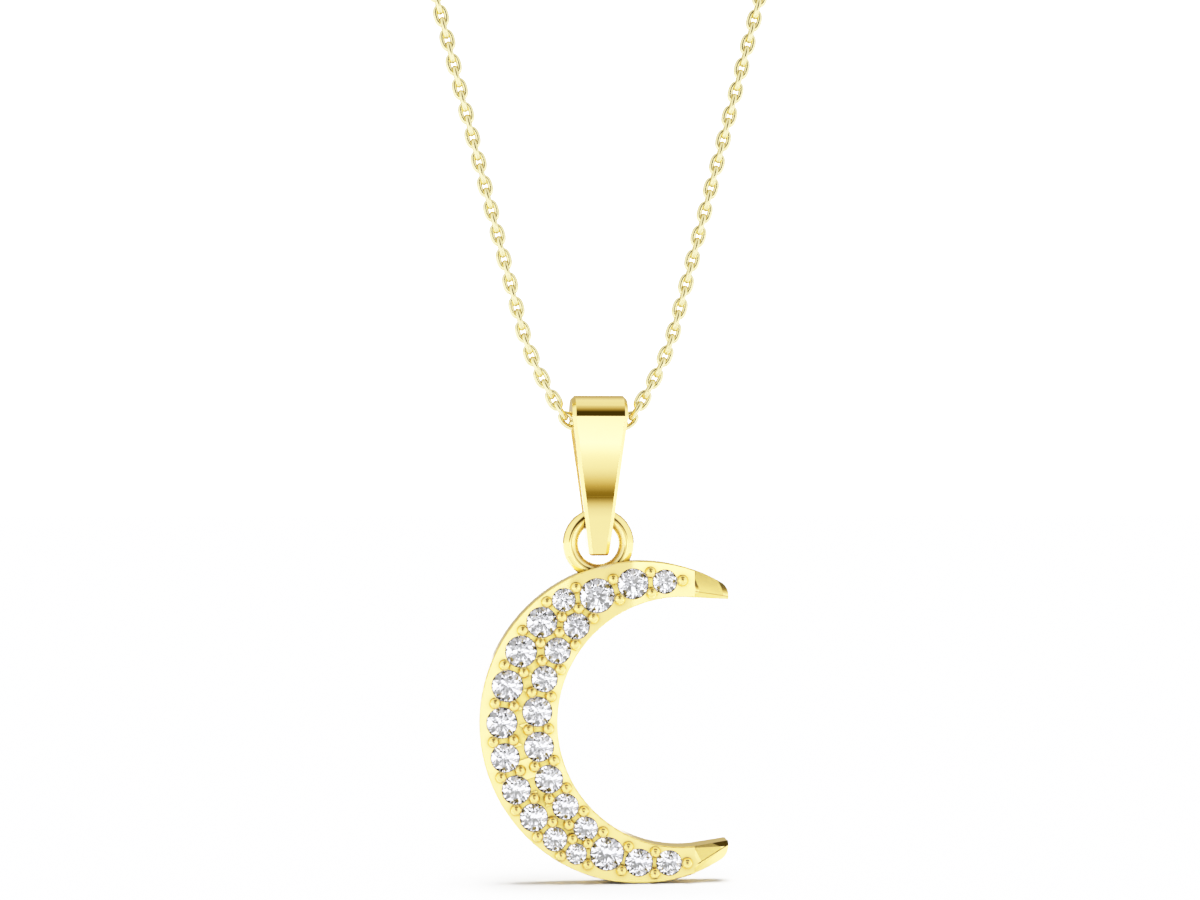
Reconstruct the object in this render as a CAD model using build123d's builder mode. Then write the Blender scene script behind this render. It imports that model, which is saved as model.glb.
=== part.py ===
"""Crescent moon pendant on a fine cable chain, in millimetres.

+Z is up and +X is to the right of someone who looks at the pendant's front,
which faces -Y. The origin is the middle of the clasp, where the chain lies on
the nape. The chain's two halves come round the neck and down to the bail, the
bail holds the crescent's ring, and the crescent hangs with its face in the XZ
plane. The stones are round brilliants held by small beads.
"""
from build123d import *
from math import acos, atan2, cos, degrees, hypot, pi, radians, sin, sqrt, tan
import os

os.makedirs("parts", exist_ok=True)

# Chain: the width over a link, and the route of the right half's centre line.
# The left half is its mirror image. The first point is where the halves meet
# inside the bail, the second is the turn at the bail's edge, and the last two
# lie along X at the clasp.
chain_width = 0.88
chain_route = [
    (0.0, -91.0, -132.0),
    (1.6, -91.0, -132.0),
    (2.75, -91.0, -130.15),
    (3.72, -91.0, -128.22),
    (4.2, -91.0, -126.9),
    (12.7, -91.0, -94.1),
    (19.4, -89.0, -79.8),
    (31.5, -82.5, -56.0),
    (43.0, -71.5, -34.5),
    (51.0, -57.0, -18.5),
    (54.0, -39.5, -8.5),
    (50.0, -23.0, -3.5),
    (40.0, -10.0, -1.0),
    (27.0, -2.5, -0.2),
    (14.0, 0.0, 0.0),
    (4.2, 0.0, 0.0),
]
arc_share = 0.45

# Clasp: a spring ring with a lug each side for the chain's ends.
clasp_ring_radius = 2.2
clasp_wire = 1.0
clasp_lever_width = 0.5
clasp_lever_height = 0.8
clasp_sleeve_wire = 1.25
clasp_sleeve_turn = 80.0

# Bail, seen from the side as a drop-shaped loop and from the front as a taper.
bail_width = 3.14
bail_depth = 3.36
bail_rest_gap = 0.41
roll_wall = 0.87
roll_height = 1.2
bail_eye_depth = 2.0
knee_drop = 4.35
knee_depth = 2.3
knee_round = 6.0
tip_drop = 7.32
tip_depth = 1.3
tip_width = 1.1
bail_chamfer = 0.2
tip_chamfer = 0.1

# Ring that is soldered to the crescent and hangs in the bail.
eye_drop = 5.06
ring_radius = 1.59
ring_wire = 0.86
ring_clearance = 0.17
ring_well = 0.2
ring_angle = 103.1
ring_sink = 0.8

# Crescent plate: an outer and an inner circle, with the band widest at the left.
outer_radius = 9.1
band_width = 4.39
inner_shift = 2.34
thickness = 1.66
edge_round = 0.07
crease_x = 3.05
horn_reach = 4.99
horn_tip_share = 1.4
horn_corner_round = 0.06

# Each horn is cut by two facets that meet in a ridge. The ridge runs between
# two points given as shares of the horn's length (along) and of its width at
# the crease (across, from the inner edge). The next columns say how far back
# the metal lies from the crescent's face at the crease's ends and at the tip,
# as shares of the thickness. The last is the radius of the broad facet, which
# is slightly domed, as a share of the outer radius. The tuck is how far the
# horn's inner edge leans in from the crease to the tip, as a share of its width.
horn_columns = (
    "side", "along_1", "across_1", "along_2", "across_2", "inner_back", "outer_back", "tip_back", "dome", "tuck"
)
horn_rows = [
    (1, 0.04, 0.2, 0.97, 0.02, 0.045, 0.036, 0.11, 1.5, 0.07),
    (-1, 0.12, 0.64, 0.96, 0.02, 0.018, 0.11, 0.12, 5.0, 0.18),
]
horn_bevel = 0.09
horn_bevel_end = 0.04
horn_bevel_back = 0.014
ridge_groove = 0.05
ridge_groove_depth = 0.01

# Stones, in order along each row from the top horn down. angle is measured
# round the outer circle's centre in degrees. across is the place between the
# outer edge (0) and the inner edge (1), and size is the girdle's diameter as a
# share of the outer radius.
stone_columns = ("angle", "across", "size")
top_single = [(80.2, 0.525, 0.148), (93.2, 0.500, 0.188), (109.1, 0.487, 0.212)]
outer_row = [
    (122.2, 0.261, 0.143),
    (134.7, 0.294, 0.188),
    (149.3, 0.297, 0.193),
    (164.5, 0.297, 0.193),
    (179.9, 0.287, 0.188),
    (194.3, 0.277, 0.176),
    (208.1, 0.268, 0.176),
    (221.3, 0.264, 0.170),
    (233.4, 0.258, 0.147),
    (243.7, 0.253, 0.126),
]
bottom_single = [(255.5, 0.488, 0.205), (269.2, 0.482, 0.169), (281.4, 0.506, 0.154)]
inner_row = [
    (123.8, 0.708, 0.160),
    (139.3, 0.727, 0.160),
    (155.6, 0.736, 0.160),
    (173.8, 0.736, 0.181),
    (193.1, 0.736, 0.181),
    (211.4, 0.727, 0.171),
    (227.9, 0.718, 0.160),
    (242.4, 0.689, 0.147),
]

# Round brilliant, as shares of its diameter, with facet slopes in degrees.
table_share = 0.57
girdle_share = 0.03
crown_slope = 34.5
star_slope = 21.0
upper_slope = 41.0
pavilion_slope = 40.75
lower_slope = 42.2
main_facets = 8
girdle_facets = 2 * main_facets

# Seats and beads.
seat_clearance = 0.02
girdle_sink = 0.06
back_hole_share = 0.4
groove_depth = 0.1
groove_share = 0.5
groove_reach = 0.95
bead_radius = 0.33
bead_reach = 0.31
bead_rise = 0.02
bead_clearance = 0.03

# Places that follow from the sizes above.
chain_axis = Vector(*chain_route[0])
wire_place = chain_axis - Vector(0, 0, eye_drop)
ring_place = wire_place - Vector(0, 0, ring_radius)
ring_outer = ring_radius + ring_wire / 2
ring_to_centre = outer_radius + ring_outer - ring_sink
crescent_place = ring_place - Vector(
    ring_to_centre * cos(radians(ring_angle)), 0, ring_to_centre * sin(radians(ring_angle))
)
inner_radius = outer_radius - band_width + inner_shift
back_plane = Plane(
    origin=crescent_place + Vector(0, thickness / 2, 0), x_dir=(1, 0, 0), z_dir=(0, -1, 0)
)
face_plane = back_plane.offset(thickness)


def inner_edge(angle):
    """Distance of the inner edge from the outer circle's centre, at an angle in degrees."""
    along = inner_shift * cos(radians(angle))
    return along + sqrt(along**2 - inner_shift**2 + inner_radius**2)


def place_stone(angle, across, size):
    """A stone's centre on the face (x, y in the face's plane) and its diameter."""
    reach = outer_radius - across * (outer_radius - inner_edge(angle))
    return (reach * cos(radians(angle)), reach * sin(radians(angle)), size * outer_radius)


def notches(first, second):
    """The two places where a bead touches both of two neighbouring stones."""
    reach_1 = first[2] / 2 + bead_reach
    reach_2 = second[2] / 2 + bead_reach
    gap_x, gap_y = second[0] - first[0], second[1] - first[1]
    gap = hypot(gap_x, gap_y)
    along = (gap**2 + reach_1**2 - reach_2**2) / (2 * gap)
    aside = sqrt(max(reach_1**2 - along**2, 0))
    unit_x, unit_y = gap_x / gap, gap_y / gap
    return [
        (first[0] + along * unit_x - turn * unit_y, first[1] + along * unit_y + turn * unit_x)
        for turn in (aside, -aside)
    ]


def past_end(last, before):
    """The place of the bead beyond the last stone of a row."""
    gap_x, gap_y = last[0] - before[0], last[1] - before[1]
    share = (last[2] / 2 + bead_reach) / hypot(gap_x, gap_y)
    return (last[0] + share * gap_x, last[1] + share * gap_y)


def corner_radii(points):
    """Fillet radii of a route, one a corner: a share of the shorter run over tan(half the turn)."""
    runs = [Vector(*end) - Vector(*start) for start, end in zip(points, points[1:])]
    return [
        arc_share * min(run.length, following.length) / tan(radians(run.get_angle(following) / 2))
        for run, following in zip(runs, runs[1:])
    ]


def facet_plane(azimuth, slope, edge_distance, edge_height):
    """Plane of a facet that leans from a level edge at a distance from the stone's axis."""
    turn, lean = radians(azimuth), radians(slope)
    return Plane(
        origin=(edge_distance * cos(turn), edge_distance * sin(turn), edge_height),
        z_dir=(sin(lean) * cos(turn), sin(lean) * sin(turn), cos(lean)),
    )


def make_brilliant():
    """A round brilliant of diameter 1 with its girdle's lower edge at z = 0 and its table up."""
    girdle_top = girdle_share
    table_radius = table_share / 2
    table_height = girdle_top + (0.5 - table_radius) * tan(radians(crown_slope))
    half_step = 180 / main_facets
    chord = 0.5 * cos(pi / girdle_facets)
    with BuildPart() as stone:
        with BuildSketch(Plane.XY.offset(-0.5)):
            RegularPolygon(radius=0.5, side_count=girdle_facets)
        extrude(amount=0.5 + table_height)
        for number in range(main_facets):
            azimuth = number * 360 / main_facets
            split(bisect_by=facet_plane(azimuth, crown_slope, 0.5, girdle_top), keep=Keep.BOTTOM)
            split(bisect_by=facet_plane(azimuth, 180 - pavilion_slope, 0.5, 0), keep=Keep.BOTTOM)
            star_edge = table_radius * cos(radians(half_step))
            star = facet_plane(azimuth + half_step, star_slope, star_edge, table_height)
            split(bisect_by=star, keep=Keep.BOTTOM)
        for number in range(girdle_facets):
            azimuth = (number + 0.5) * 360 / girdle_facets
            split(bisect_by=facet_plane(azimuth, upper_slope, chord, girdle_top), keep=Keep.BOTTOM)
            split(bisect_by=facet_plane(azimuth, 180 - lower_slope, chord, 0), keep=Keep.BOTTOM)
    return stone.part


def make_seat(diameter):
    """The well cut in the plate for a stone: round, with a cone and a hole through the back."""
    radius = diameter / 2 + seat_clearance
    hole_radius = back_hole_share * radius
    cone_foot = -(radius - hole_radius) * tan(radians(pavilion_slope)) - seat_clearance
    with BuildPart() as seat:
        with BuildSketch(Plane.XZ):
            with BuildLine():
                Polyline(
                    (0, -2 * thickness),
                    (hole_radius, -2 * thickness),
                    (hole_radius, cone_foot),
                    (radius, -seat_clearance),
                    (radius, thickness),
                    (0, thickness),
                    close=True,
                )
            make_face()
        revolve(axis=Axis.Z)
    return seat.part


def make_envelope(diameter):
    """The space a stone fills with its clearance all round, which the beads leave free."""
    radius = diameter / 2 + bead_clearance
    girdle_top = girdle_share * diameter + bead_clearance
    table_radius = table_share * diameter / 2 + bead_clearance
    table_height = girdle_top + (radius - table_radius) * tan(radians(crown_slope))
    with BuildPart() as envelope:
        with BuildSketch(Plane.XZ):
            with BuildLine():
                Polyline(
                    (0, -radius * tan(radians(pavilion_slope)) - bead_clearance),
                    (radius, -bead_clearance),
                    (radius, girdle_top),
                    (table_radius, table_height),
                    (0, table_height),
                    close=True,
                )
            make_face()
        revolve(axis=Axis.Z)
    return envelope.part


def make_horn(row):
    """One horn of the crescent, from the crease to the tip, with its two facets cut."""
    horn = dict(zip(horn_columns, row))
    side = horn["side"]
    base = sqrt(inner_radius**2 - (crease_x - inner_shift) ** 2)
    width = sqrt(outer_radius**2 - crease_x**2) - base
    length = horn_reach - crease_x
    tip_base = base - horn["tuck"] * width
    tip_height = sqrt(outer_radius**2 - horn_reach**2) - base

    def point(along, across, back):
        spot = (crease_x + along * length, side * (base + across * width), thickness * (1 - back))
        return back_plane.from_local_coords(Vector(*spot))

    ridge_1 = point(horn["along_1"], horn["across_1"], 0)
    ridge_2 = point(horn["along_2"], horn["across_2"], horn["tip_back"])
    ridge = (ridge_2 - ridge_1).normalized()

    def toward_face(normal):
        return normal if normal.Y < 0 else -normal

    def on_facet(normal, along, across):
        spot = point(along, across, 0)
        return spot - Vector(0, (spot - ridge_1).dot(normal) / normal.Y, 0)

    with BuildPart() as piece:
        with BuildSketch(back_plane) as outline:
            Circle(outer_radius)
            with BuildLine():
                Polyline(
                    (crease_x, side * base),
                    (horn_reach, side * tip_base),
                    (horn_reach, side * outer_radius),
                    (crease_x, side * outer_radius),
                    close=True,
                )
            make_face(mode=Mode.INTERSECT)
            tips = outline.vertices().group_by(Axis.X)[-1].sort_by(Axis.Y, reverse=side < 0)
            fillet(tips[-1], horn_tip_share * tip_height)
            tips = outline.vertices().group_by(Axis.X)[-1].sort_by(Axis.Y, reverse=side < 0)
            fillet(tips[0], horn_corner_round)
        extrude(amount=thickness)
        broad, narrow = (1, 0) if side > 0 else (0, 1)
        backs = (horn["inner_back"], horn["outer_back"])
        flat = toward_face(ridge.cross(point(0, narrow, backs[narrow]) - ridge_1).normalized())
        split(bisect_by=Plane(origin=ridge_1, z_dir=flat), keep=Keep.BOTTOM)
        chord = point(0, broad, backs[broad]) - ridge_1
        chord = chord - ridge * chord.dot(ridge)
        domed = toward_face(ridge.cross(chord).normalized())
        dome_radius = horn["dome"] * outer_radius
        depth = sqrt(dome_radius**2 - (chord.length / 2) ** 2)
        with Locations(Plane(origin=ridge_1 + chord / 2 - domed * depth, z_dir=ridge)):
            Cylinder(dome_radius, 4 * horn_reach, mode=Mode.INTERSECT)
        inner = domed if broad == 0 else flat
        edge_1 = on_facet(inner, 0, horn_bevel / width)
        edge_2 = on_facet(inner, 1, horn_bevel_end / width)
        edge_3 = on_facet(inner, 0, 0) + Vector(0, horn_bevel_back, 0)
        bevel = toward_face((edge_2 - edge_1).cross(edge_3 - edge_1).normalized())
        split(bisect_by=Plane(origin=edge_1, z_dir=bevel), keep=Keep.BOTTOM)
        with BuildSketch(Plane(origin=ridge_1 - ridge * length, x_dir=-domed, z_dir=ridge)):
            with BuildLine():
                Polyline(
                    (0, 0),
                    (ridge_groove_depth, ridge_groove),
                    (-ridge_groove_depth, ridge_groove),
                    close=True,
                )
            make_face()
        extrude(amount=3 * length, mode=Mode.SUBTRACT)
    return piece.part


# Where the stones and beads are.
outer_file = [place_stone(*row) for row in top_single + outer_row + bottom_single]
inner_file = [place_stone(*row) for row in inner_row]
stones = outer_file + inner_file
row_start = outer_file[len(top_single) - 1]
row_end = outer_file[-len(bottom_single)]
neighbours = list(zip(outer_file, outer_file[1:])) + list(zip(inner_file, inner_file[1:]))
beads = [spot for pair in neighbours for spot in notches(*pair)]
beads += [notches(row_start, inner_file[0])[0], notches(inner_file[-1], row_end)[0]]
beads += [past_end(outer_file[0], outer_file[1]), past_end(outer_file[-1], outer_file[-2])]

# Crescent: plate, horns and ring in one, then the grooves between the stones,
# their seats, and the beads, which are trimmed where the stones lie.
horns = [make_horn(row) for row in horn_rows]
stone_places = [
    face_plane.offset(-girdle_sink - girdle_share * size) * Pos(x, y, 0) for x, y, size in stones
]
seats = [place * make_seat(size) for place, (x, y, size) in zip(stone_places, stones)]
envelopes = [place * make_envelope(size) for place, (x, y, size) in zip(stone_places, stones)]
with BuildPart() as crescent:
    with BuildSketch(back_plane):
        Circle(outer_radius)
        with Locations((inner_shift, 0)):
            Circle(inner_radius, mode=Mode.SUBTRACT)
        with Locations((crease_x, 0)):
            beyond = (2 * outer_radius, 3 * outer_radius)
            Rectangle(*beyond, align=(Align.MIN, Align.CENTER), mode=Mode.SUBTRACT)
    extrude(amount=thickness)
    fillet(crescent.edges().filter_by(GeomType.CIRCLE), edge_round)
    add(horns)
    with Locations(Plane(origin=ring_place, z_dir=(0, -1, 0))):
        Torus(ring_radius, ring_wire / 2)
    with BuildSketch(face_plane):
        for first in stones:
            for second in stones:
                gap_x, gap_y = second[0] - first[0], second[1] - first[1]
                gap = hypot(gap_x, gap_y)
                if gap_x > 0 and gap < (first[2] + second[2]) / 2 + groove_reach:
                    middle = ((first[0] + second[0]) / 2, (first[1] + second[1]) / 2)
                    turn = degrees(atan2(gap_y, gap_x))
                    with Locations(Location(middle, turn)):
                        Rectangle(gap, groove_share * min(first[2], second[2]))
    extrude(amount=-groove_depth, mode=Mode.SUBTRACT)
    add(seats, mode=Mode.SUBTRACT)
    with Locations(*[face_plane.offset(bead_rise) * Pos(x, y, 0) for x, y in beads]):
        Sphere(bead_radius)
    add(envelopes, mode=Mode.SUBTRACT)
crescent.part.label = "crescent"
export_step(crescent.part, "parts/crescent.step")

# Stones, one solid each.
brilliant = make_brilliant()
for number, (place, (x, y, size)) in enumerate(zip(stone_places, stones), start=1):
    with BuildPart() as stone:
        with Locations(place):
            add(scale(brilliant, by=size, mode=Mode.PRIVATE))
    stone.part.label = f"stone_{number:02d}"
    export_step(stone.part, f"parts/stone_{number:02d}.step")

# Bail: the side view gives the loop, the front view gives the taper. It is
# shaped about its hinge and then hung on the chain.
eye_top = chain_width / 2 + bail_rest_gap
roll_top = eye_top + roll_wall
crease_rise = roll_top - roll_height
eye_rise = eye_top - crease_rise
well_radius = ring_wire / 2 + ring_clearance
well_drop = eye_drop + ring_well
bend_centre = Vector(knee_depth / 2 - knee_round, -knee_drop)
leg = Vector(tip_depth / 2, -tip_drop) - bend_centre
bend = atan2(-leg.Y, leg.X) - acos(knee_round / leg.length)
bend_depth = bend_centre.X + knee_round * cos(bend)
bend_drop = knee_drop + knee_round * sin(bend)
with BuildPart() as bail_form:
    with BuildSketch(Plane.YZ):
        with BuildLine():
            EllipticalCenterArc((0, crease_rise), bail_depth / 2, roll_height, arc_size=180)
            TangentArc((-knee_depth / 2, -knee_drop), (-bail_depth / 2, crease_rise), tangent=(0, 1))
            TangentArc((-knee_depth / 2, -knee_drop), (-bend_depth, -bend_drop), tangent=(0, -1))
            Line((-bend_depth, -bend_drop), (-tip_depth / 2, -tip_drop))
            Line((-tip_depth / 2, -tip_drop), (tip_depth / 2, -tip_drop))
            Line((tip_depth / 2, -tip_drop), (bend_depth, -bend_drop))
            TangentArc((knee_depth / 2, -knee_drop), (bend_depth, -bend_drop), tangent=(0, -1))
            TangentArc((knee_depth / 2, -knee_drop), (bail_depth / 2, crease_rise), tangent=(0, 1))
        make_face()
    extrude(amount=bail_width / 2, both=True)
    with BuildSketch(Plane.XZ):
        with BuildLine():
            Polyline(
                (-bail_width / 2, roll_top),
                (-bail_width / 2, crease_rise),
                (-tip_width / 2, -tip_drop),
                (tip_width / 2, -tip_drop),
                (bail_width / 2, crease_rise),
                (bail_width / 2, roll_top),
                close=True,
            )
        make_face()
    extrude(amount=bail_depth, both=True, mode=Mode.INTERSECT)
    sides = bail_form.faces().filter_by(lambda face: abs(face.normal_at().X) > sin(pi / 4))
    rims = [edge for side in sides for edge in side.outer_wire().edges()]
    level = bail_form.edges().filter_by(Axis.Y)
    chamfer([edge for edge in rims if edge not in level], bail_chamfer)
    chamfer(bail_form.faces().sort_by(Axis.Z)[0].edges(), tip_chamfer)
    with BuildSketch(Plane.YZ):
        with BuildLine():
            EllipticalCenterArc((0, crease_rise), bail_eye_depth / 2, eye_rise, arc_size=180)
            Line((-bail_eye_depth / 2, crease_rise), (-well_radius, -well_drop))
            ThreePointArc((-well_radius, -well_drop), (0, -well_drop - well_radius), (well_radius, -well_drop))
            Line((well_radius, -well_drop), (bail_eye_depth / 2, crease_rise))
        make_face()
    extrude(amount=bail_width / 2, both=True, mode=Mode.SUBTRACT)

with BuildPart() as bail:
    with Locations(chain_axis):
        add(bail_form.part)
bail.part.label = "bail"
export_step(bail.part, "parts/bail.step")

# Chain: a tube of the links' width along the route, mirrored for the left half.
radii = corner_radii(chain_route)
with BuildPart() as chain_right:
    with BuildLine() as route:
        FilletPolyline(*chain_route, radius=radii)
    with BuildSketch(Plane(origin=route.line @ 0, z_dir=route.line % 0)):
        Circle(chain_width / 2)
    sweep()
chain_right.part.label = "chain_right"
export_step(chain_right.part, "parts/chain_right.step")

with BuildPart() as chain_left:
    mirror(chain_right.part, about=Plane.YZ)
chain_left.part.label = "chain_left"
export_step(chain_left.part, "parts/chain_left.step")

# Clasp: the spring ring stands upright at the nape, between the chain's ends.
lug_end = chain_route[-1][0]
with BuildPart() as clasp:
    with Locations(Plane.XZ):
        Torus(clasp_ring_radius, clasp_wire / 2)
        Torus(clasp_ring_radius, clasp_sleeve_wire / 2, major_angle=clasp_sleeve_turn)
    for side in (1, -1):
        with Locations(Plane(origin=(side * clasp_ring_radius, 0, 0), z_dir=(side, 0, 0))):
            lug_length = lug_end - clasp_ring_radius
            Cylinder(chain_width / 2, lug_length, align=(Align.CENTER, Align.CENTER, Align.MIN))
    with Locations((0, 0, clasp_ring_radius)):
        lever_height = clasp_wire / 2 + clasp_lever_height
        Cylinder(clasp_lever_width / 2, lever_height, align=(Align.CENTER, Align.CENTER, Align.MIN))
clasp.part.label = "clasp"
export_step(clasp.part, "parts/clasp.step")

# What the route comes to: radii in widths of the chain, length and volume.
tube_length = sum(edge.length for edge in route.edges())
print("chain corner radii (mm):", [round(radius, 2) for radius in radii])
print("necklace length (mm):", round(2 * (tube_length + lug_end), 1))
print("tube volume over section times length:",
      round(chain_right.part.volume / (pi * chain_width**2 / 4 * tube_length), 5))
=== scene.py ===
from math import cos, exp, pi, radians, sin

import bpy
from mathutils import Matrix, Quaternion, Vector


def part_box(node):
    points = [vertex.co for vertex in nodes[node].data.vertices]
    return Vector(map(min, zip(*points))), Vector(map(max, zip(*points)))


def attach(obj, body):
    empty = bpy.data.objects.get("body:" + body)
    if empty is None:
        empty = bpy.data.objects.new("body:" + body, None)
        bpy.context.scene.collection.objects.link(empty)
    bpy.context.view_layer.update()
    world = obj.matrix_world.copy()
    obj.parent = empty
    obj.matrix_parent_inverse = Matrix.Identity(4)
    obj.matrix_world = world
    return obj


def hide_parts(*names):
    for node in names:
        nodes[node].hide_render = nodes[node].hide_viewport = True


MM = 0.001
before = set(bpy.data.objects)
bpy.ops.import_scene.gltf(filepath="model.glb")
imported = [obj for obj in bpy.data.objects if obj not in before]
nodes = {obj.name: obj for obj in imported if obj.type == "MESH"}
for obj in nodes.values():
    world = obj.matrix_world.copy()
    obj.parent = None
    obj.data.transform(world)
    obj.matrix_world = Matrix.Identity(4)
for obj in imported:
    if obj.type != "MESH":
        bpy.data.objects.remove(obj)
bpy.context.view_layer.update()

# Places that part.py's sizes give, in metres. The pivot is the chain's lowest
# point, where the bail hangs.
PIVOT = Vector((0.0, -91.0, -132.0)) * MM
RING_Z = PIVOT.z - 6.65 * MM
FACE_Y = PIVOT.y - 0.83 * MM
FLOOR_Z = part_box("crescent")[0][2]

# ---------------------------------------------------------------- camera
PHOTO_WIDTH = 1200.0
FOCAL_LENGTH = 2702.0  # in the photo's pixels
SENSOR_WIDTH = 36.0
CAMERA_FROM_PIVOT = Vector((-13.32, -152.25, -3.054)) * MM
CAMERA_TURN = radians(5)

cam_data = bpy.data.cameras.new("camera")
cam_data.sensor_width = SENSOR_WIDTH
cam_data.lens = SENSOR_WIDTH * FOCAL_LENGTH / PHOTO_WIDTH
cam_data.shift_x = 0.0014
cam_data.shift_y = 0.025
cam_data.clip_start = 0.005
cam_data.clip_end = 20.0
camera = bpy.data.objects.new("camera", cam_data)
bpy.context.scene.collection.objects.link(camera)
camera.location = PIVOT + CAMERA_FROM_PIVOT
look = Vector((sin(CAMERA_TURN), cos(CAMERA_TURN), 0))
camera.rotation_euler = look.to_track_quat("-Z", "Y").to_euler()
bpy.context.scene.camera = camera

# ---------------------------------------------------------------- tone
# Bright parts roll off as on film, so that polished gold stays coloured.
WHITE_LEVEL = 6.0
FILM_PEAK = 1.04
TONE_STEPS = (0.2, 0.4, 0.7, 1.0, 1.4, 1.8, 2.3, 2.8, 3.4)
MASTER_CURVE = 3


def film(light):
    return min(1.0, FILM_PEAK * (1 - exp(-light)))


view = bpy.context.scene.view_settings
view.view_transform = "Standard"
view.look = "None"
view.use_curve_mapping = True
tones = view.curve_mapping
tones.white_level = (WHITE_LEVEL,) * 3
master = tones.curves[MASTER_CURVE]
for step in TONE_STEPS:
    master.points.new(step / WHITE_LEVEL, film(step))
master.points[-1].location = (1.0, 1.0)
tones.update()


# ---------------------------------------------------------------- node helpers
def feed(tree, value, socket):
    """Gives a socket another socket's value, a plain number or a colour."""
    if isinstance(value, bpy.types.NodeSocket):
        tree.links.new(value, socket)
    elif isinstance(value, tuple):
        socket.default_value = (*value, 1.0)
    else:
        socket.default_value = value


def maths(tree, operation, *values):
    node = tree.nodes.new("ShaderNodeMath")
    node.operation = operation
    for socket, value in zip(node.inputs, values):
        feed(tree, value, socket)
    return node.outputs["Value"]


def climb(tree, value, low, high, bottom=0.0, top=1.0, smooth=False):
    """Maps low..high to bottom..top and holds the ends."""
    node = tree.nodes.new("ShaderNodeMapRange")
    node.interpolation_type = "SMOOTHSTEP" if smooth else "LINEAR"
    ends = {"From Min": low, "From Max": high, "To Min": bottom, "To Max": top, "Value": value}
    for name, end in ends.items():
        feed(tree, end, node.inputs[name])
    return node.outputs["Result"]


def between(tree, value, low, high):
    """1 where the value lies between two numbers."""
    return maths(tree, "COMPARE", value, (low + high) / 2, (high - low) / 2)


def distance(tree, first, second):
    """How far a point with these two coordinates is from their origin."""
    squares = [maths(tree, "MULTIPLY", value, value) for value in (first, second)]
    return maths(tree, "SQRT", maths(tree, "ADD", *squares))


def all_of(tree, *masks):
    """1 where all the masks are 1."""
    result = masks[0]
    for mask in masks[1:]:
        result = maths(tree, "MULTIPLY", result, mask)
    return result


def mix(tree, kind, factor, first, second, blend="MIX"):
    """The first value where the factor is 0 and the second where it is 1."""
    node = tree.nodes.new("ShaderNodeMix")
    node.data_type = kind
    node.blend_type = blend
    first_socket, second_socket, result = {"FLOAT": (2, 3, 0), "VECTOR": (4, 5, 1), "RGBA": (6, 7, 2)}[kind]
    feed(tree, factor, node.inputs[0])
    feed(tree, first, node.inputs[first_socket])
    feed(tree, second, node.inputs[second_socket])
    return node.outputs[result]


def colour_ramp(tree, value, stops):
    """Maps a value to colours. The stops are (position, red, green, blue)."""
    node = tree.nodes.new("ShaderNodeValToRGB")
    elements = node.color_ramp.elements
    for number, (position, *colour) in enumerate(stops):
        element = elements[number] if number < 2 else elements.new(position)
        element.position = position
        element.color = (*colour, 1.0)
    tree.links.new(value, node.inputs["Fac"])
    return node.outputs["Color"]


def coordinates(tree, kind):
    return tree.nodes.new("ShaderNodeTexCoord").outputs[kind]


def separate(tree, vector):
    """The x, y and z of a vector."""
    node = tree.nodes.new("ShaderNodeSeparateXYZ")
    tree.links.new(vector, node.inputs["Vector"])
    return node.outputs["X"], node.outputs["Y"], node.outputs["Z"]


def turned(tree, normal, source, target):
    """A normal that is given in one space, in another."""
    node = tree.nodes.new("ShaderNodeVectorTransform")
    node.vector_type = "NORMAL"
    node.convert_from = source
    node.convert_to = target
    tree.links.new(normal, node.inputs["Vector"])
    return node.outputs["Vector"]


def surface_normal(tree):
    return tree.nodes.new("ShaderNodeNewGeometry").outputs["Normal"]


def own_normal(tree):
    """The x, y and z of the surface's normal in its piece's own frame."""
    return separate(tree, turned(tree, surface_normal(tree), "WORLD", "OBJECT"))


def noise(tree, scale, detail):
    node = tree.nodes.new("ShaderNodeTexNoise")
    node.inputs["Scale"].default_value = scale
    node.inputs["Detail"].default_value = detail
    tree.links.new(coordinates(tree, "Object"), node.inputs["Vector"])
    return node.outputs["Fac"]


# ---------------------------------------------------------------- materials
GOLD = (1.0, 0.73, 0.24)
CHAIN_GOLD = (0.8, 0.68, 0.32)
# The colour of the painted shade in narrow corners.
CORNER_SHADE_COLOUR = (0.4, 0.29, 0.06)
DEEPER = (0.96, 0.96, 0.9)  # how much deeper the gold's colour gets in places
NOISE_RANGE = (0.3, 0.7)
GRAIN_TO_CLOUD = 12
GRAIN_DEPTH = 0.01 * MM
CORNER_REACH = 0.3 * MM
CORNER_OPENNESS = (0.45, 0.95)
CORNER_SAMPLES = 6
DIAMOND_REFRACTION = 2.4
DIAMOND_TINTS = [(0.35, 0.93, 0.93, 1.0), (0.65, 1.0, 1.0, 1.0)]


def new_material(name):
    material = bpy.data.materials.new(name)
    material.use_nodes = True
    tree = material.node_tree
    return material, tree, tree.nodes["Principled BSDF"]


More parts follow.
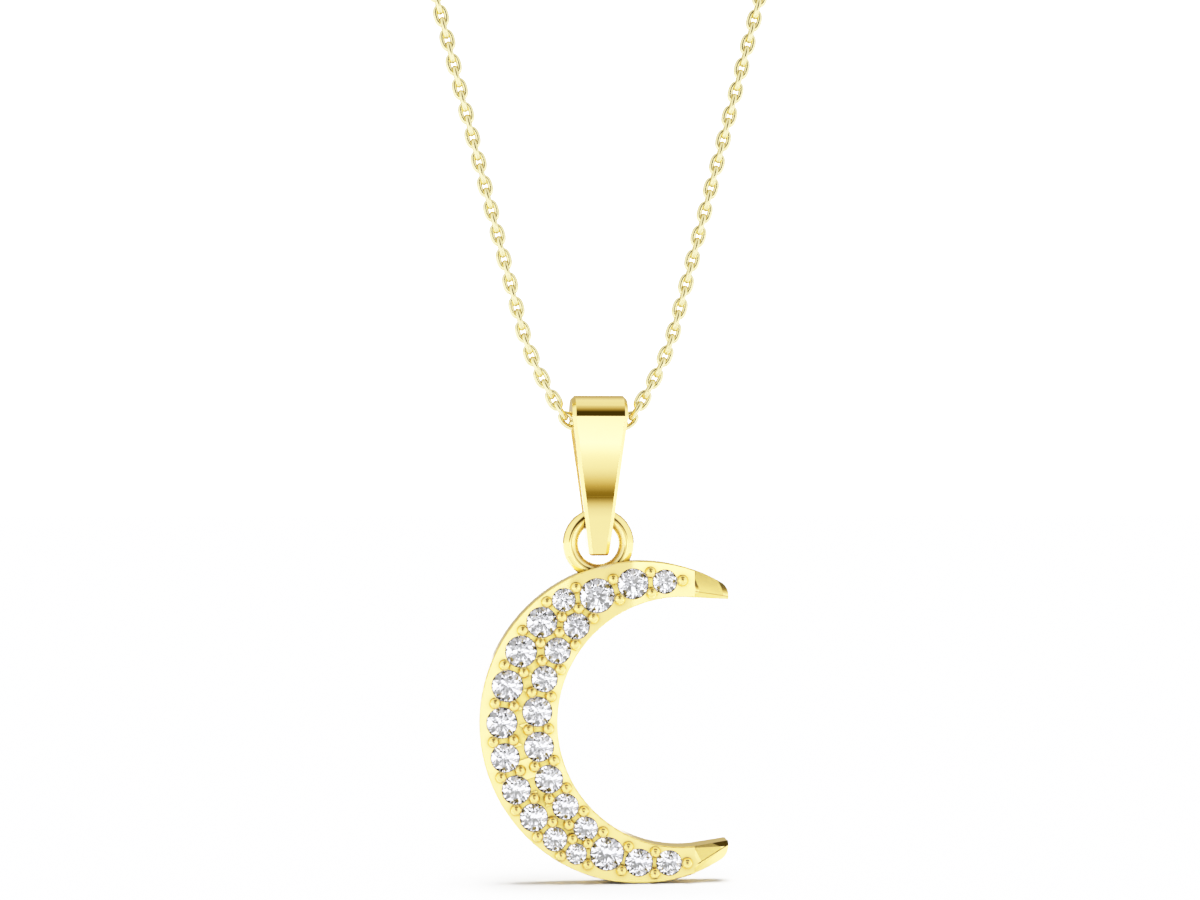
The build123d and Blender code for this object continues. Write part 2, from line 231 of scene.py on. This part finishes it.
def gold(name, colour, roughness, spread, grain, bump=0.0, painted_shade_colour=None):
    """Polished gold: a little colour and roughness variation and a faint polishing grain.

    In narrow corners, such as round the beads, painted shade turns the gold to the shade colour given.
    """
    material, tree, shader = new_material(name)
    shader.inputs["Metallic"].default_value = 1.0
    fine = noise(tree, grain, 3.0)
    cloud = noise(tree, grain / GRAIN_TO_CLOUD, 2.0)
    rough = climb(tree, fine, *NOISE_RANGE, roughness, roughness + spread)
    tree.links.new(rough, shader.inputs["Roughness"])
    deep_colour = tuple(part * share for part, share in zip(colour, DEEPER))
    surface = mix(tree, "RGBA", cloud, colour, deep_colour)
    if painted_shade_colour:
        # Painted shade: the gold darkens where ambient occlusion finds walls close by.
        shelter = tree.nodes.new("ShaderNodeAmbientOcclusion")
        shelter.samples = CORNER_SAMPLES
        shelter.inputs["Distance"].default_value = CORNER_REACH
        openness = climb(tree, shelter.outputs["AO"], *CORNER_OPENNESS)
        surface = mix(tree, "RGBA", openness, painted_shade_colour, surface)
    tree.links.new(surface, shader.inputs["Base Color"])
    if bump:
        relief = tree.nodes.new("ShaderNodeBump")
        relief.inputs["Strength"].default_value = bump
        relief.inputs["Distance"].default_value = GRAIN_DEPTH
        tree.links.new(fine, relief.inputs["Height"])
        tree.links.new(relief.outputs["Normal"], shader.inputs["Normal"])
    return material


def diamond(name):
    """Clear stone with diamond's refraction and a faint cool tint that varies."""
    material, tree, shader = new_material(name)
    shader.inputs["Transmission Weight"].default_value = 1.0
    shader.inputs["IOR"].default_value = DIAMOND_REFRACTION
    shader.inputs["Specular IOR Level"].default_value = 0.2
    shader.inputs["Roughness"].default_value = 0.0
    tint = colour_ramp(tree, noise(tree, 900.0, 2.0), DIAMOND_TINTS)
    tree.links.new(tint, shader.inputs["Base Color"])
    return material


def overlay(material, mask, colour, roughness):
    """Where the mask is 1, the surface is tinted by a colour and takes another roughness."""
    tree = material.node_tree
    inputs = tree.nodes["Principled BSDF"].inputs
    below = inputs["Base Color"].links[0].from_socket
    tree.links.new(mix(tree, "RGBA", mask, below, colour, "MULTIPLY"), inputs["Base Color"])
    below = inputs["Roughness"].links[0].from_socket
    tree.links.new(mix(tree, "FLOAT", mask, below, roughness), inputs["Roughness"])


gold_cast = gold("gold_cast", GOLD, 0.05, 0.04, 9000.0, 0.01, CORNER_SHADE_COLOUR)
gold_polished = gold("gold_polished", GOLD, 0.03, 0.03, 7000.0, 0.005)
gold_bail = gold("gold_bail", GOLD, 0.02, 0.02, 7000.0)
gold_chain = gold("gold_chain", CHAIN_GOLD, 0.16, 0.1, 12000.0, 0.02)
clear_stone = diamond("diamond")

# The cut grooves between the stones keep the cutter's matt surface; painted shade darkens them.
GROOVE_DEPTHS = (0.02 * MM, 0.16 * MM)
GROOVE_SHADE_TINT = (0.9, 0.88, 0.74)

tree = gold_cast.node_tree
x, y, z = separate(tree, coordinates(tree, "Object"))
groove = between(tree, y, *(FACE_Y + depth for depth in GROOVE_DEPTHS))
overlay(gold_cast, groove, GROOVE_SHADE_TINT, 0.26)

# The beads are a little yellower and rougher, with a painted reflection: a dark arc above the
# middle. The arc is part of a ring that the normal draws round one direction.
BEAD_RISE = 0.03 * MM
BEAD_TINT = (1.0, 1.0, 0.92)
ARC_REFLECTION_TINT = (0.16, 0.12, 0.05)
ARC_MIDDLE = 0.36
ARC_INNER_EDGE = (0.16, 0.22)
ARC_OUTER_EDGE = (0.32, 0.4)
ARC_ENDS = (0.4, 0.5)

bead = maths(tree, "LESS_THAN", y, FACE_Y - BEAD_RISE)
overlay(gold_cast, bead, BEAD_TINT, 0.2)
across, out, up = own_normal(tree)
from_middle = distance(tree, across, maths(tree, "SUBTRACT", up, ARC_MIDDLE))
reflection_arc = all_of(
    tree,
    climb(tree, from_middle, *ARC_INNER_EDGE, smooth=True),
    climb(tree, from_middle, *ARC_OUTER_EDGE, 1.0, 0.0, smooth=True),
    climb(tree, up, *ARC_ENDS, smooth=True),
    bead,
)
overlay(gold_cast, reflection_arc, ARC_REFLECTION_TINT, 0.3)

# No polishing cloth reaches the inside of the hanging ring, so it stays duller; painted shade darkens and
# cools it.
RING_INSIDE = (1.32 * MM, 1.48 * MM)
RING_INSIDE_SHADE_TINT = (0.7, 0.76, 1.1)

from_ring = distance(tree, x, maths(tree, "SUBTRACT", z, RING_Z))
ring_inside = climb(tree, from_ring, *RING_INSIDE, 1.0, 0.0, smooth=True)
overlay(gold_cast, ring_inside, RING_INSIDE_SHADE_TINT, 0.3)

# The bail's inside is only tumbled, so it is rougher than its outside. It ends
# halfway through the wall, at these depths from the bail's middle at these
# heights from the pivot.
INSIDE_HEIGHTS = (-5.95 * MM, 0.87 * MM)
WALL_DEPTHS = (0.765 * MM, 1.37 * MM)
INSIDE_TILT = 0.5  # how far the normal may point sideways

tree = gold_bail.node_tree
x, y, z = separate(tree, coordinates(tree, "Object"))
depth = maths(tree, "ABSOLUTE", maths(tree, "SUBTRACT", y, PIVOT.y))
rise = maths(tree, "SUBTRACT", z, PIVOT.z)
across, out, up = own_normal(tree)
sideways = maths(tree, "ABSOLUTE", across)
bail_inside = all_of(
    tree,
    maths(tree, "LESS_THAN", depth, climb(tree, rise, *INSIDE_HEIGHTS, *WALL_DEPTHS)),
    between(tree, rise, *INSIDE_HEIGHTS),
    maths(tree, "LESS_THAN", sideways, INSIDE_TILT),
)
overlay(gold_bail, bail_inside, (1.0, 1.0, 1.0), 0.5)

# Its front is a hollow curve from the crease down to the knee and a round one
# under it. The mesh has few rows there, so the curve's own normal is given for
# the shine. A lean is the normal's height over its reach.
CREASE_HEIGHT = 0.52 * MM
KNEE_HEIGHT = -3.95 * MM
LEG_HEIGHT = -5.2 * MM
CREASE_LEAN = 0.213
LEG_LEAN = 0.209
FRONT_DEPTH = 0.5 * MM
FRONT_FACING = -0.93  # the normal's y, at the most
FRONT_TILT = 0.25

lean = maths(
    tree, "ADD",
    climb(tree, rise, KNEE_HEIGHT, CREASE_HEIGHT, 0.0, CREASE_LEAN),
    climb(tree, rise, LEG_HEIGHT, KNEE_HEIGHT, LEG_LEAN, 0.0),
)
curve = tree.nodes.new("ShaderNodeCombineXYZ")
curve.inputs["Y"].default_value = -1.0
tree.links.new(maths(tree, "MULTIPLY", lean, -1.0), curve.inputs["Z"])
bail_front = all_of(
    tree,
    maths(tree, "LESS_THAN", out, FRONT_FACING),
    maths(tree, "LESS_THAN", sideways, FRONT_TILT),
    maths(tree, "LESS_THAN", rise, CREASE_HEIGHT),
    maths(tree, "LESS_THAN", y, PIVOT.y - FRONT_DEPTH),
    maths(tree, "SUBTRACT", 1.0, bail_inside),
)
curve_normal = turned(tree, curve.outputs["Vector"], "OBJECT", "WORLD")
shine = mix(tree, "VECTOR", bail_front, surface_normal(tree), curve_normal)
tree.links.new(shine, tree.nodes["Principled BSDF"].inputs["Normal"])


def dress(node, material):
    slots = nodes[node].material_slots
    for slot in slots:
        slot.material = material
    if not slots:
        nodes[node].data.materials.append(material)


dress("crescent", gold_cast)
dress("bail", gold_bail)
dress("clasp", gold_polished)
for node in nodes:
    if node.startswith("stone_"):
        dress(node, clear_stone)

# ---------------------------------------------------------------- chain
# The route of the right half, in millimetres. It is part.py's, with more
# points beside the bail, where the links lie closer to its edge.
CHAIN_ROUTE = [
    (0.0, -91.0, -132.0),
    (1.4, -91.0, -132.05),
    (2.15, -91.0, -131.2),
    (3.25, -91.0, -129.25),
    (4.0, -91.0, -127.6),
    (4.5, -91.0, -125.9),
    (9.33, -91.0, -107.2),
    (12.7, -91.0, -94.1),
    (19.4, -89.0, -79.8),
    (31.5, -82.5, -56.0),
    (43.0, -71.5, -34.5),
    (51.0, -57.0, -18.5),
    (54.0, -39.5, -8.5),
    (50.0, -23.0, -3.5),
    (40.0, -10.0, -1.0),
    (27.0, -2.5, -0.2),
    (14.0, 0.0, 0.0),
    (4.2, 0.0, 0.0),
]
ROUTE_STEPS = 40  # straight pieces between two points of the route
LINK_PITCH = 0.706
LINK_LENGTH = 1.31
LINK_WIDTH = 0.88
LINK_WIRE = 0.3
LINK_BOXINESS = 0.86  # 1 makes the link an ellipse, less makes it fuller
FIRST_ROLLS = {0: 144, 1: 72}  # the links at the bail turn from one to the next
LINK_ROLLS = (0, 90)
# The links in the photo have more corners round the wire and round the link.
NEAR_LINKS = 44
NEAR_CORNERS = (12, 32)
FAR_CORNERS = (6, 14)


def route_line():
    """The chain's centre line in millimetres, close points on one smooth spline."""
    curve = bpy.data.curves.new("route", "CURVE")
    curve.dimensions = "3D"
    curve.resolution_u = ROUTE_STEPS
    spline = curve.splines.new("NURBS")
    spline.points.add(len(CHAIN_ROUTE) - 1)
    for point, place in zip(spline.points, CHAIN_ROUTE):
        point.co = (*place, 1.0)
    spline.order_u = 3
    spline.use_endpoint_u = True
    holder = bpy.data.objects.new("route", curve)
    mesh = bpy.data.meshes.new_from_object(holder)
    line = [vertex.co.copy() for vertex in mesh.vertices]
    bpy.data.objects.remove(holder)
    bpy.data.meshes.remove(mesh)
    bpy.data.curves.remove(curve)
    return line


def walk(line, pitch, start):
    """Places and tangents at even steps along a line."""
    lengths = [(b - a).length for a, b in zip(line, line[1:])]
    total = sum(lengths)
    count = int((total - start) / pitch + 0.5)
    step = (total - start) / count
    places, index, passed = [], 0, 0.0
    for number in range(count):
        goal = start + number * step
        while passed + lengths[index] < goal and index < len(lengths) - 1:
            passed += lengths[index]
            index += 1
        share = (goal - passed) / lengths[index]
        a, b = line[index], line[index + 1]
        places.append((a.lerp(b, share), (b - a).normalized()))
    return places


def oval(value):
    """A cosine or sine, bent so that the oval is fuller than an ellipse."""
    return abs(value) ** LINK_BOXINESS * (1 if value >= 0 else -1)


def link_mesh(sides, around):
    """Vertices and faces of one oval link along x, its width along y, its wire round."""
    reach = (LINK_LENGTH - LINK_WIRE) / 2
    half = (LINK_WIDTH - LINK_WIRE) / 2
    radius = LINK_WIRE / 2
    ring, faces = [], []
    for step in range(around):
        turn = 2 * pi * step / around
        centre = Vector((reach * oval(cos(turn)), half * oval(sin(turn)), 0))
        outward = Vector((cos(turn) / reach, sin(turn) / half, 0)).normalized()
        for corner in range(sides):
            angle = 2 * pi * corner / sides
            rise = Vector((0, 0, radius * sin(angle)))
            ring.append(centre + outward * (radius * cos(angle)) + rise)
    for step in range(around):
        this, following = step * sides, (step + 1) % around * sides
        for corner in range(sides):
            beside = (corner + 1) % sides
            faces.append((this + corner, following + corner, following + beside, this + beside))
    return ring, faces


def make_chain(name, mirror):
    places = walk(route_line(), LINK_PITCH, LINK_PITCH / 2)
    near, far = link_mesh(*NEAR_CORNERS), link_mesh(*FAR_CORNERS)
    up = Vector((0, -1, 0))
    vertices, faces = [], []
    for number, (place, along) in enumerate(places):
        up = (up - along * up.dot(along)).normalized()
        roll = FIRST_ROLLS.get(number, LINK_ROLLS[number % 2])
        normal = Quaternion(along, radians(roll)) @ up
        across = normal.cross(along)
        ring, sheet = near if number < NEAR_LINKS else far
        first = len(vertices)
        for point in ring:
            spot = place + along * point.x + across * point.y + normal * point.z
            if mirror:
                spot.x = -spot.x
            vertices.append(spot * MM)
        for face in sheet:
            corners = reversed(face) if mirror else face
            faces.append(tuple(first + index for index in corners))
    mesh = bpy.data.meshes.new(name)
    mesh.from_pydata(vertices, [], faces)
    mesh.validate()
    mesh.polygons.foreach_set("use_smooth", [True] * len(mesh.polygons))
    mesh.materials.append(gold_chain)
    piece = bpy.data.objects.new(name, mesh)
    bpy.context.scene.collection.objects.link(piece)
    return piece


for node, mirror in (("chain_left", True), ("chain_right", False)):
    links = make_chain(node + "_links", mirror)
    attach(links, "chain")
    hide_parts(node)

# ---------------------------------------------------------------- floor and lamp
FLOOR_REACH = 1.5

r = FLOOR_REACH
floor_corners = [(-r, -r, FLOOR_Z), (r, -r, FLOOR_Z), (r, r, FLOOR_Z), (-r, r, FLOOR_Z)]
floor_mesh = bpy.data.meshes.new("floor")
floor_mesh.from_pydata(floor_corners, [], [(0, 1, 2, 3)])
floor = bpy.data.objects.new("floor", floor_mesh)
bpy.context.scene.collection.objects.link(floor)
material, tree, shader = new_material("floor")
shader.inputs["Base Color"].default_value = (0.9, 0.9, 0.9, 1)
shader.inputs["Roughness"].default_value = 0.9
shader.inputs["Specular IOR Level"].default_value = 0.0
floor_mesh.materials.append(material)
floor.visible_transmission = False

overhead = bpy.data.lights.new("overhead", "SUN")
overhead.energy = 10.0
overhead.angle = radians(36)
overhead_lamp = bpy.data.objects.new("overhead", overhead)
overhead_lamp.visible_glossy = False
overhead_lamp.visible_transmission = False
bpy.context.scene.collection.objects.link(overhead_lamp)

# ---------------------------------------------------------------- cards
# Rows of light are (place, light, warmth). Ramps hold colours up to 1, so the
# lights are divided by the brightest that a ramp may give.
PEAK = 5.0
WARM_GREEN = 0.28  # what full warmth takes from green and blue
WARM_BLUE = 0.9


def light_ramp(tree, value, rows):
    stops = []
    for position, light, warmth in rows:
        share = light / PEAK
        stops.append((position, share, share * (1 - WARM_GREEN * warmth), share * (1 - WARM_BLUE * warmth)))
    return colour_ramp(tree, value, stops)


def make_card(name, corners, axis, rows):
    """A card that only reflections see. Corners and rows are in mm from the pivot."""
    mesh = bpy.data.meshes.new(name)
    mesh.from_pydata([PIVOT + Vector(corner) * MM for corner in corners], [], [(0, 1, 2, 3)])
    card = bpy.data.objects.new(name, mesh)
    bpy.context.scene.collection.objects.link(card)
    card.visible_camera = False
    card.visible_diffuse = False
    card.visible_shadow = False
    card.visible_transmission = False
    material = bpy.data.materials.new(name)
    material.use_nodes = True
    tree = material.node_tree
    tree.nodes.clear()
    first, last = rows[0][0], rows[-1][0]
    index = "XYZ".index(axis)
    place = separate(tree, coordinates(tree, "Object"))[index]
    share = climb(tree, place, PIVOT[index] + first * MM, PIVOT[index] + last * MM)
    shares = [((row[0] - first) / (last - first), *row[1:]) for row in rows]
    glow = tree.nodes.new("ShaderNodeEmission")
    glow.inputs["Strength"].default_value = PEAK
    tree.links.new(light_ramp(tree, share, shares), glow.inputs["Color"])
    output = tree.nodes.new("ShaderNodeOutputMaterial")
    tree.links.new(glow.outputs["Emission"], output.inputs["Surface"])
    mesh.materials.append(material)


# The two upright cards shade the bail's front round its knee. The third lies on
# the floor and is a painted shadow: the dim strip close to the pendant, seen only in reflections.
make_card(
    "bend_card", [(-6, -25, -9.8), (12, -25, -9.8), (12, -25, -2.9), (-6, -25, -2.9)], "Z",
    [
        (-9.8, 3.2, 0.0), (-8.6, 4.0, 0.0), (-7.46, 4.6, 0.0), (-6.6, 2.9, 0.0),
        (-6.23, 2.5, 0.0), (-5.84, 2.2, 0.0), (-5.46, 1.73, 0.1), (-5.09, 1.3, 0.4),
        (-4.71, 0.79, 0.75), (-4.33, 0.33, 1.0), (-4.09, 0.27, 1.0), (-2.9, 0.27, 1.0),
    ],
)
make_card(
    "knee_card", [(-0.8, -12, -13), (3, -12, -13), (3, -12, -4.25), (-0.8, -12, -4.25)], "Z",
    [
        (-13, 2.25, 0.0), (-10.2, 2.25, 0.0), (-9.5, 2.15, 0.0), (-7.7, 1.8, 0.0),
        (-6.1, 1.2, 0.3), (-5.32, 0.75, 0.6), (-4.53, 0.3, 1.0), (-4.25, 0.27, 1.0),
    ],
)
low = (FLOOR_Z - PIVOT.z) / MM + 0.05
make_card(
    "floor_shade_card", [(-40, -60, low), (60, -60, low), (60, -2, low), (-40, -2, low)], "Y",
    [(-60, 3.4, 0.0), (-50, 3.1, 0.0), (-40, 2.8, 0.0), (-20, 2.5, 0.0), (-2, 2.1, 0.0)],
)

# ---------------------------------------------------------------- room
# The room by direction: the front is dark from the horizon to a third of the
# way up, the sides are lit, and the back is dim. Rows are (elevation in
# degrees, light, warmth).
FRONT_ROWS = [
    (-90, 3.4, 0.0), (-0.5, 3.4, 0.0), (0.8, 0.6, 1.0), (2.5, 0.06, 1.0), (36, 0.06, 1.0),
    (48, 0.4, 0.9), (59, 0.85, 0.6), (74, 1.3, 0.2), (90, 1.75, 0.0),
]
SIDE_ROWS = [(-90, 3.4, 0.0), (0, 3.2, 0.0), (8, 2.4, 0.0), (40, 2.2, 0.0), (90, 1.75, 0.0)]
BACK_ROWS = [
    (-90, 3.4, 0.0), (-2, 1.6, 0.3), (2, 0.8, 0.6), (40, 0.9, 0.5), (65, 1.9, 0.0), (90, 1.75, 0.0),
]
# The front turns into the sides, and they into the back, between these
# directions, as angles from the front.
FRONT_TO_SIDE = (radians(18), radians(34))
SIDE_TO_BACK = (radians(105), radians(130))
# What lights the floor where the lamp is hidden: cool, against the gold's glow.
SHADOW_COLOUR = (0.9, 0.95, 1.1)
SHADOW_LIGHT = 0.5
# The stones look out on many small lights and flags, which gives them
# contrast. Rows are (share of the flags, light).
FLAG_SCALE = 6.0
FLAG_COLOUR = (0.95, 0.96, 1.02)
FLAG_ROWS = [(0.0, 0.01), (0.27, 0.04), (0.34, 0.9), (0.53, 1.3), (0.62, 3.8), (1.0, 4.6)]


def by_height(rows):
    return [((sin(radians(row[0])) + 1) / 2, *row[1:]) for row in rows]


def background(tree, colour, strength):
    node = tree.nodes.new("ShaderNodeBackground")
    feed(tree, colour, node.inputs["Color"])
    node.inputs["Strength"].default_value = strength
    return node.outputs["Background"]


def mix_shaders(tree, factor, first, second):
    node = tree.nodes.new("ShaderNodeMixShader")
    for socket, source in zip(node.inputs, (factor, first, second)):
        tree.links.new(source, socket)
    return node.outputs["Shader"]


world = bpy.data.worlds.new("studio")
bpy.context.scene.world = world
world.use_nodes = True
tree = world.node_tree
tree.nodes.clear()
direction = coordinates(tree, "Generated")
x, y, z = separate(tree, direction)
height = climb(tree, z, -1.0, 1.0)
front, side, back = (
    light_ramp(tree, height, by_height(rows)) for rows in (FRONT_ROWS, SIDE_ROWS, BACK_ROWS)
)
from_front = maths(tree, "ARCTAN2", x, maths(tree, "MULTIPLY", y, -1.0))
from_front = maths(tree, "ABSOLUTE", from_front)
room = mix(tree, "RGBA", climb(tree, from_front, *FRONT_TO_SIDE, smooth=True), front, side)
room = mix(tree, "RGBA", climb(tree, from_front, *SIDE_TO_BACK, smooth=True), room, back)

cells = tree.nodes.new("ShaderNodeTexVoronoi")
cells.inputs["Scale"].default_value = FLAG_SCALE
cells.inputs["Randomness"].default_value = 1.0
tree.links.new(direction, cells.inputs["Vector"])
cell = tree.nodes.new("ShaderNodeSeparateColor")
tree.links.new(cells.outputs["Color"], cell.inputs["Color"])
flags = colour_ramp(
    tree, cell.outputs["Red"],
    [(position, *(part * light / PEAK for part in FLAG_COLOUR)) for position, light in FLAG_ROWS],
)

# What each kind of ray sees: gold the room, stones the flags, the floor an
# even light, and the camera plain white.
path = tree.nodes.new("ShaderNodeLightPath").outputs
after_floor = maths(tree, "GREATER_THAN", path["Diffuse Depth"], 0.5)
seen = mix_shaders(
    tree, path["Is Transmission Ray"], background(tree, room, PEAK), background(tree, flags, PEAK)
)
seen = mix_shaders(tree, after_floor, seen, background(tree, SHADOW_COLOUR, SHADOW_LIGHT))
seen = mix_shaders(tree, path["Is Camera Ray"], seen, background(tree, (1.0, 1.0, 1.0), PEAK))
output = tree.nodes.new("ShaderNodeOutputWorld")
tree.links.new(seen, output.inputs["Surface"])
